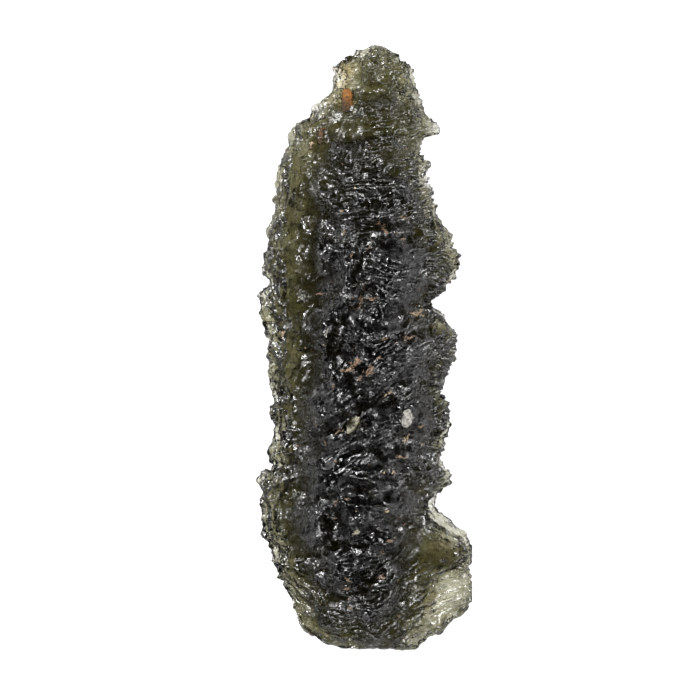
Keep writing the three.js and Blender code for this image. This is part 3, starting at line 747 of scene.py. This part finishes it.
def make_clay(skin):
    """Reddish clay in the pits of the upper side, and crumbs of it all over."""
    crust = Crust(skin)
    luck = np.random.default_rng(11)
    for number, (*spot, colour) in enumerate(CLAY):
        add_crumbs(crust, luck, spot, colour, number)
    low, high = stone_box()
    made = 0
    while made < SMALL_CLAY:
        way = luck.normal(size=3)
        way /= np.linalg.norm(way)
        aim = np.array((luck.uniform(low[0], high[0]), luck.uniform(low[1], high[1]), AIM_HEIGHT))
        hit, normal = skin.ray_cast(Vector(aim + way * AIM_FROM), Vector(-way))[:2]
        if hit is None:
            continue
        half = luck.uniform(*SMALL_HALVES[normal[2] > FACING_DOWN])
        tint = one_tint(as_light((TAN, PINK, BROWN, CREAM)[luck.integers(4)]))
        size, turn, salt = (half, 0.65 * half), luck.uniform(0, 180), 3000 + 3 * made
        crust.add(np.array(hit), normal, size, turn, 0.5 * half, tint, CRUMB_NET, salt)
        made += 1
    crust_object("clay_grains", crust, crumbly_material("red_clay", roughness=0.9, scale=5200.0))


def make_fillings(skin):
    """The rust-yellow fillings by the tip, darker towards their lower ends and their left sides."""
    crust = Crust(skin)
    for x, y, size, turn, tall, colours, salt, fullness, buried in RUST:
        place, tint = top_of(skin, x, y), graded_tint(*colours)
        crust.add(place, UP, size, turn, tall, tint, BIG_NET, salt, fullness, buried)
    crust_object("rust_fillings", crust, crumbly_material("rust_yellow", roughness=0.75, scale=5200.0))


def make_flakes(skin):
    """Two pale mineral flakes stuck on the back."""
    crust = Crust(skin)
    for x, y, size, turn, colour, salt, fullness in FLAKES:
        place, tint = top_of(skin, x, y), one_tint(as_light(colour))
        crust.add(place, UP, size, turn, FLAKE_HEIGHT, tint, BIG_NET, salt, fullness, FLAKE_BURIED)
    crust_object("pale_flakes", crust, crumbly_material("pale_flake", roughness=0.7, scale=4600.0))


# ---------------- materials


class Nodes:
    """Short ways to add and join shader nodes in one tree."""

    def __init__(self, tree):
        self.tree = tree

    def add(self, kind, **settings):
        """A new node with these settings."""
        node = self.tree.nodes.new("ShaderNode" + kind)
        for name, value in settings.items():
            setattr(node, name, value)
        return node

    def join(self, source, target):
        """A link from an output to an input."""
        self.tree.links.new(source, target)

    def math(self, operation, first, second=None, third=None, clamp=False):
        """The result of a sum on numbers or outputs."""
        node = self.add("Math", operation=operation, use_clamp=clamp)
        for socket, value in zip(node.inputs, (first, second, third)):
            self.feed(socket, value)
        return node.outputs[0]

    def feed(self, socket, value):
        """Sets an input to a number, or links it to an output."""
        if value is None:
            return
        if isinstance(value, bpy.types.NodeSocket):
            self.join(value, socket)
        else:
            socket.default_value = value

    def spread(self, value, low, high, out_low=0.0, out_high=1.0):
        """A smooth rise from out_low, where the value is low, to out_high."""
        node = self.add("MapRange", interpolation_type="SMOOTHSTEP")
        names = ("Value", "From Min", "From Max", "To Min", "To Max")
        for name, number in zip(names, (value, low, high, out_low, out_high)):
            self.feed(node.inputs[name], number)
        return node.outputs["Result"]

    def noise(self, place, scale, detail=2.0, roughness=0.5):
        """Cloudy noise with so many waves to a metre."""
        node = self.add("TexNoise", noise_type="FBM", normalize=True)
        self.join(place, node.inputs["Vector"])
        for name, number in (("Scale", scale), ("Detail", detail), ("Roughness", roughness)):
            self.feed(node.inputs[name], number)
        return node.outputs[0]

    def stored(self, name):
        """The three numbers that the mesh stores under this name, as outputs X, Y and Z."""
        parts = self.add("SeparateXYZ")
        self.join(self.add("Attribute", attribute_name=name).outputs["Vector"], parts.inputs[0])
        return parts.outputs

    def bump(self, height, distance, shader):
        """Makes the shader's surface stand out by the height times a distance in metres."""
        node = self.add("Bump")
        node.inputs["Distance"].default_value = distance
        self.join(height, node.inputs["Height"])
        self.join(node.outputs["Normal"], shader.inputs["Normal"])

    def tinted(self, colour, tint, share):
        """The colour, multiplied by a tint where share is 1."""
        node = self.add("Mix", data_type="RGBA", blend_type="MULTIPLY")
        for socket, value in zip((node.inputs[0], node.inputs[6], node.inputs[7]), (share, colour, tint)):
            self.feed(socket, value)
        return node.outputs[2]


def new_group(name, inputs, outputs):
    """An empty node group with these sockets, and its input and output nodes."""
    group = bpy.data.node_groups.new(name, "ShaderNodeTree")
    for label, kind, value in inputs:
        socket = group.interface.new_socket(label, in_out="INPUT", socket_type="NodeSocket" + kind)
        if value is not None:
            socket.default_value = value
    for label, kind in outputs:
        group.interface.new_socket(label, in_out="OUTPUT", socket_type="NodeSocket" + kind)
    return group, Nodes(group), group.nodes.new("NodeGroupInput"), group.nodes.new("NodeGroupOutput")


def new_material(name):
    """A material with its shader and output, and the helper for its tree."""
    material = bpy.data.materials.new(name)
    material.use_nodes = True
    nodes = Nodes(material.node_tree)
    shader = material.node_tree.nodes["Principled BSDF"]
    return material, nodes, shader


GLASS_IOR = 1.49
GLASS_ROUGHNESS = (0.16, 0.30)
ABSORB_COLOUR = (0.38, 0.36, 0.12, 1.0)
ABSORB_DENSITY = 1600.0  # per metre
LINE_BUMP, PIT_BUMP, GRAIN_BUMP = 0.06, 0.10, 0.04  # mm high
PITS_LOST = 0.7  # how much of the pits' depth strong flow lines take
PITS, FINE_GRAIN, PATCHES, DUST, STREAKS = 2900.0, 5200.0, 900.0, 420.0, 1500.0  # waves to a metre
WIDE_LINE, FINE_LINE, LINE_TOP = 0.76, 0.70, 0.97  # how high on a crest a line starts and is full
FINE_SHARE = 0.25  # how strongly the fine lines show
FROST_ROUGHNESS, FROST_IOR = 0.5, 2.6
SPECK_RANGE, SPECK_GAIN = (0.65, 0.70), 0.08  # grain that turns to frost, and the gain from thick frost
DUST_RANGE = (0.42, 0.60, 0.06, 1.0)
RAGGED_RANGE = (0.36, 0.54, 0.15, 1.0)
STREAK_RANGE = (0.42, 0.58)
HAZE = 0.35  # coat that thick frost adds in streaks
FILM = ((0.14, (0.50, 0.49, 0.42, 1.0)), (0.32, (1.0, 1.0, 1.0, 1.0)))  # frost, and the skin's colour there
STAIN = (1.0, 0.87, 0.64, 1.0)
# the tint of the painted shade, which darkens the glass
PAINTED_SHADE_TINT = (0.58, 0.57, 0.55, 1.0)


def carved_lines(nodes, wave, show, start):
    """A narrow line on each crest of the flow lines."""
    crest = nodes.math("PINGPONG", nodes.math("MULTIPLY", wave, 2.0), 1.0)
    return nodes.math("MULTIPLY", nodes.spread(crest, start, LINE_TOP), show)


def skin_height(nodes, place, lines, grain, strength):
    """The height of the finest relief: lines, pits between them and grain."""
    pits = nodes.add("TexVoronoi", feature="F1")
    nodes.join(place, pits.inputs["Vector"])
    pits.inputs["Scale"].default_value = PITS
    pits_show = nodes.math("MULTIPLY_ADD", strength, -PIT_BUMP * PITS_LOST, PIT_BUMP)
    raised = nodes.math("MULTIPLY", lines, LINE_BUMP)
    height = nodes.math("MULTIPLY_ADD", pits.outputs["Distance"], pits_show, raised)
    return nodes.math("MULTIPLY_ADD", grain, GRAIN_BUMP, height)


def frost_amount(nodes, place, lines, grain, amount):
    """How thick the frost is: on the lines, in specks, and in streaks where the amount is over 1."""
    thick = nodes.math("SUBTRACT", amount, 1.0, clamp=True)
    specks = nodes.spread(nodes.math("MULTIPLY_ADD", thick, SPECK_GAIN, grain), *SPECK_RANGE)
    dusty = nodes.spread(nodes.noise(place, DUST), *DUST_RANGE)
    worn = nodes.math("MULTIPLY", specks, dusty)
    ragged = nodes.math("MULTIPLY", lines, nodes.spread(grain, *RAGGED_RANGE))
    frost = nodes.math("MULTIPLY", nodes.math("MAXIMUM", ragged, worn), amount)
    streaks = nodes.spread(nodes.noise(place, STREAKS, 3.0, 0.65), *STREAK_RANGE)
    return nodes.math("MULTIPLY_ADD", streaks, nodes.math("MULTIPLY", thick, HAZE), frost, clamp=True)


def skin_colour(nodes, frost, grain, wear_and_shade):
    """The skin's colour: greyish under the clear glass, white under frost, then stained, and darkened by
    painted shade.
    """
    film = nodes.add("ValToRGB")
    for stop, (position, colour) in zip(film.color_ramp.elements, FILM):
        stop.position = position
        stop.color = colour
    whitened = nodes.math("MULTIPLY_ADD", grain, 0.6, nodes.math("SUBTRACT", frost, 0.1))
    nodes.join(whitened, film.inputs["Fac"])
    colour = film.outputs["Color"]
    # Y is a real iron stain; Z is painted shade that darkens the glass
    for share, tint in (("Y", STAIN), ("Z", PAINTED_SHADE_TINT)):
        colour = nodes.tinted(colour, tint, wear_and_shade[share])
    return colour


def green_glass():
    """Bottle-green glass whose skin is etched matt, with fine flow lines."""
    material, nodes, shader = new_material("etched_green_glass")
    place = nodes.add("TexCoord").outputs["Object"]
    # the third stored set holds frost, a real stain and painted shade
    wave, show, wear_and_shade = (nodes.stored(name) for name in ("line_wave", "line_show", "wear_and_shade"))
    wide = carved_lines(nodes, wave["X"], show["X"], WIDE_LINE)
    fine = carved_lines(nodes, wave["Y"], show["Y"], FINE_LINE)
    lines = nodes.math("MAXIMUM", wide, nodes.math("MULTIPLY", fine, FINE_SHARE))
    grain = nodes.noise(place, FINE_GRAIN, 1.0, 0.6)
    nodes.bump(skin_height(nodes, place, lines, grain, show["Z"]), MM, shader)
    patches = nodes.noise(place, PATCHES)
    nodes.join(nodes.spread(patches, 0.35, 0.65, *GLASS_ROUGHNESS), shader.inputs["Roughness"])
    frost = frost_amount(nodes, place, lines, grain, wear_and_shade["X"])
    nodes.join(frost, shader.inputs["Coat Weight"])
    # the base colour carries real stains and a painted shade that darkens the glass at listed places
    nodes.join(skin_colour(nodes, frost, grain, wear_and_shade), shader.inputs["Base Color"])
    shader.inputs["Coat Roughness"].default_value = FROST_ROUGHNESS
    shader.inputs["Coat IOR"].default_value = FROST_IOR
    shader.inputs["IOR"].default_value = GLASS_IOR
    shader.inputs["Transmission Weight"].default_value = 1.0
    depth = nodes.add("VolumeAbsorption")
    depth.inputs["Color"].default_value = ABSORB_COLOUR
    depth.inputs["Density"].default_value = ABSORB_DENSITY
    nodes.join(depth.outputs["Volume"], material.node_tree.nodes["Material Output"].inputs["Volume"])
    return material


CRUMB_BUMP = 0.08  # mm high
CRUMB_SHADES = (0.3, 0.62, 0.35, 1.15)  # noise from and to, and how bright the colour is there


def crumbly_group():
    """Fine crumbs: an uneven colour and a height, for everything that is stuck on the stone."""
    inputs = (("Colour", "Color", (0.5, 0.5, 0.5, 1.0)), ("Scale", "Float", 4000.0))
    outputs = (("Colour", "Color"), ("Height", "Float"))
    group, nodes, given, made = new_group("crumbly", inputs, outputs)
    place = nodes.add("TexCoord").outputs["Object"]
    crumbs = nodes.add("TexNoise", noise_type="FBM", normalize=True)
    nodes.join(place, crumbs.inputs["Vector"])
    nodes.join(given.outputs["Scale"], crumbs.inputs["Scale"])
    crumbs.inputs["Detail"].default_value = 2.0
    shade = nodes.spread(crumbs.outputs[0], *CRUMB_SHADES)
    mixed = nodes.add("VectorMath", operation="SCALE")
    nodes.join(given.outputs["Colour"], mixed.inputs[0])
    nodes.join(shade, mixed.inputs["Scale"])
    nodes.join(mixed.outputs[0], made.inputs["Colour"])
    nodes.join(crumbs.outputs[0], made.inputs["Height"])
    return group


def crumbly_material(name, roughness, scale):
    """An opaque crumbly stuff in the piece's own tint."""
    material, nodes, shader = new_material(name)
    crumbs = nodes.add("Group", node_tree=bpy.data.node_groups.get("crumbly") or crumbly_group())
    nodes.join(nodes.add("Attribute", attribute_name="tint").outputs["Color"], crumbs.inputs["Colour"])
    crumbs.inputs["Scale"].default_value = scale
    nodes.bump(crumbs.outputs["Height"], CRUMB_BUMP * MM, shader)
    nodes.join(crumbs.outputs["Colour"], shader.inputs["Base Color"])
    shader.inputs["Roughness"].default_value = roughness
    return material


MIRROR_LOSS = 0.5  # how much of the table's glow the mirrored light lacks


def white_table():
    """The pale table top, which is lit from inside as a light table is, and fainter in mirrored light."""
    material, nodes, shader = new_material("white_table")
    shader.inputs["Base Color"].default_value = (0.3, 0.3, 0.3, 1.0)
    shader.inputs["Roughness"].default_value = 0.8
    shader.inputs["Emission Color"].default_value = (1.0, 1.0, 1.0, 1.0)
    path = nodes.add("LightPath")
    mirrored = nodes.math("SUBTRACT", path.outputs["Is Glossy Ray"], path.outputs["Is Transmission Ray"])
    glow = nodes.math("MULTIPLY_ADD", mirrored, -MIRROR_LOSS, 1.0)
    nodes.join(glow, shader.inputs["Emission Strength"])
    return material


# ---------------- table, lights and camera

TABLE_HALF = 0.4  # metres
LIGHT_SIZE = 50  # mm
LIGHT_AIM = (0, 0, 3)
LIGHTS = (  # name, place in mm, power in watts
    ("key_light", (-215, 180, 200), 1.8),
    ("right_light", (270, 60, 150), 0.9),
    ("near_light", (40, -280, 170), 0.6),
)
SKY = (0.0, 0.8, 0.02, 0.01)  # height from and to, and how bright the sky is there
SKY_SEEN = 0.95  # how bright it is when it is seen directly and through the glass
LENS, SENSOR = 135.0, 36.0
VIEW_WIDTH = 52.5  # mm across the view, at the height of the rim
VIEW_MIDDLE = (-1.05, -0.11)  # mm


def make_table():
    """The table top that the stone lies on."""
    mesh = bpy.data.meshes.new("table")
    corners = [(x * TABLE_HALF, y * TABLE_HALF, 0) for x, y in ((-1, -1), (1, -1), (1, 1), (-1, 1))]
    mesh.from_pydata(corners, [], [(0, 1, 2, 3)])
    mesh.materials.append(white_table())
    table = put_in_scene("table", mesh)


def make_lights():
    """Soft square lights that face the stone."""
    for name, place, power in LIGHTS:
        lamp = bpy.data.lights.new(name, "AREA")
        lamp.shape = "SQUARE"
        lamp.size = LIGHT_SIZE * MM
        lamp.energy = power
        light = put_in_scene(name, lamp)
        light.location = Vector(place) * MM
        aim = Vector(LIGHT_AIM) * MM - light.location
        light.rotation_euler = aim.to_track_quat("-Z", "Y").to_euler()


def make_sky():
    """Faint light from all round, and a white backdrop where the sky is seen."""
    world = bpy.data.worlds.new("studio")
    world.use_nodes = True
    nodes = Nodes(world.node_tree)
    backdrop = world.node_tree.nodes["Background"]
    backdrop.inputs["Color"].default_value = (1.0, 1.0, 1.0, 1.0)
    path = nodes.add("LightPath")
    height = nodes.add("SeparateXYZ")
    nodes.join(nodes.add("TexCoord").outputs["Generated"], height.inputs[0])
    tent = nodes.spread(height.outputs["Z"], *SKY)
    through = nodes.math("MAXIMUM", path.outputs["Is Camera Ray"], path.outputs["Is Transmission Ray"])
    strength = nodes.math("MAXIMUM", tent, nodes.math("MULTIPLY", through, SKY_SEEN))
    nodes.join(strength, backdrop.inputs["Strength"])
    bpy.context.scene.world = world


def make_camera():
    """A long lens straight above the stone, as high as the view's width asks for."""
    lens = bpy.data.cameras.new("camera")
    lens.lens = LENS
    lens.sensor_width = SENSOR
    lens.clip_start = 0.01
    camera = put_in_scene("camera", lens)
    distance = VIEW_WIDTH * LENS / SENSOR
    camera.location = (VIEW_MIDDLE[0] * MM, VIEW_MIDDLE[1] * MM, (RIM_HEIGHT + distance) * MM)
    bpy.context.scene.camera = camera


# ---------------- putting it together

make_camera()
make_lights()
make_sky()
make_table()
bpy.context.scene.view_settings.view_transform = "Standard"

stone = make_stone()
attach(stone, "root")
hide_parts("moldavite")

skin = search_tree(stone.data)
make_clay(skin)
make_fillings(skin)
make_flakes(skin)
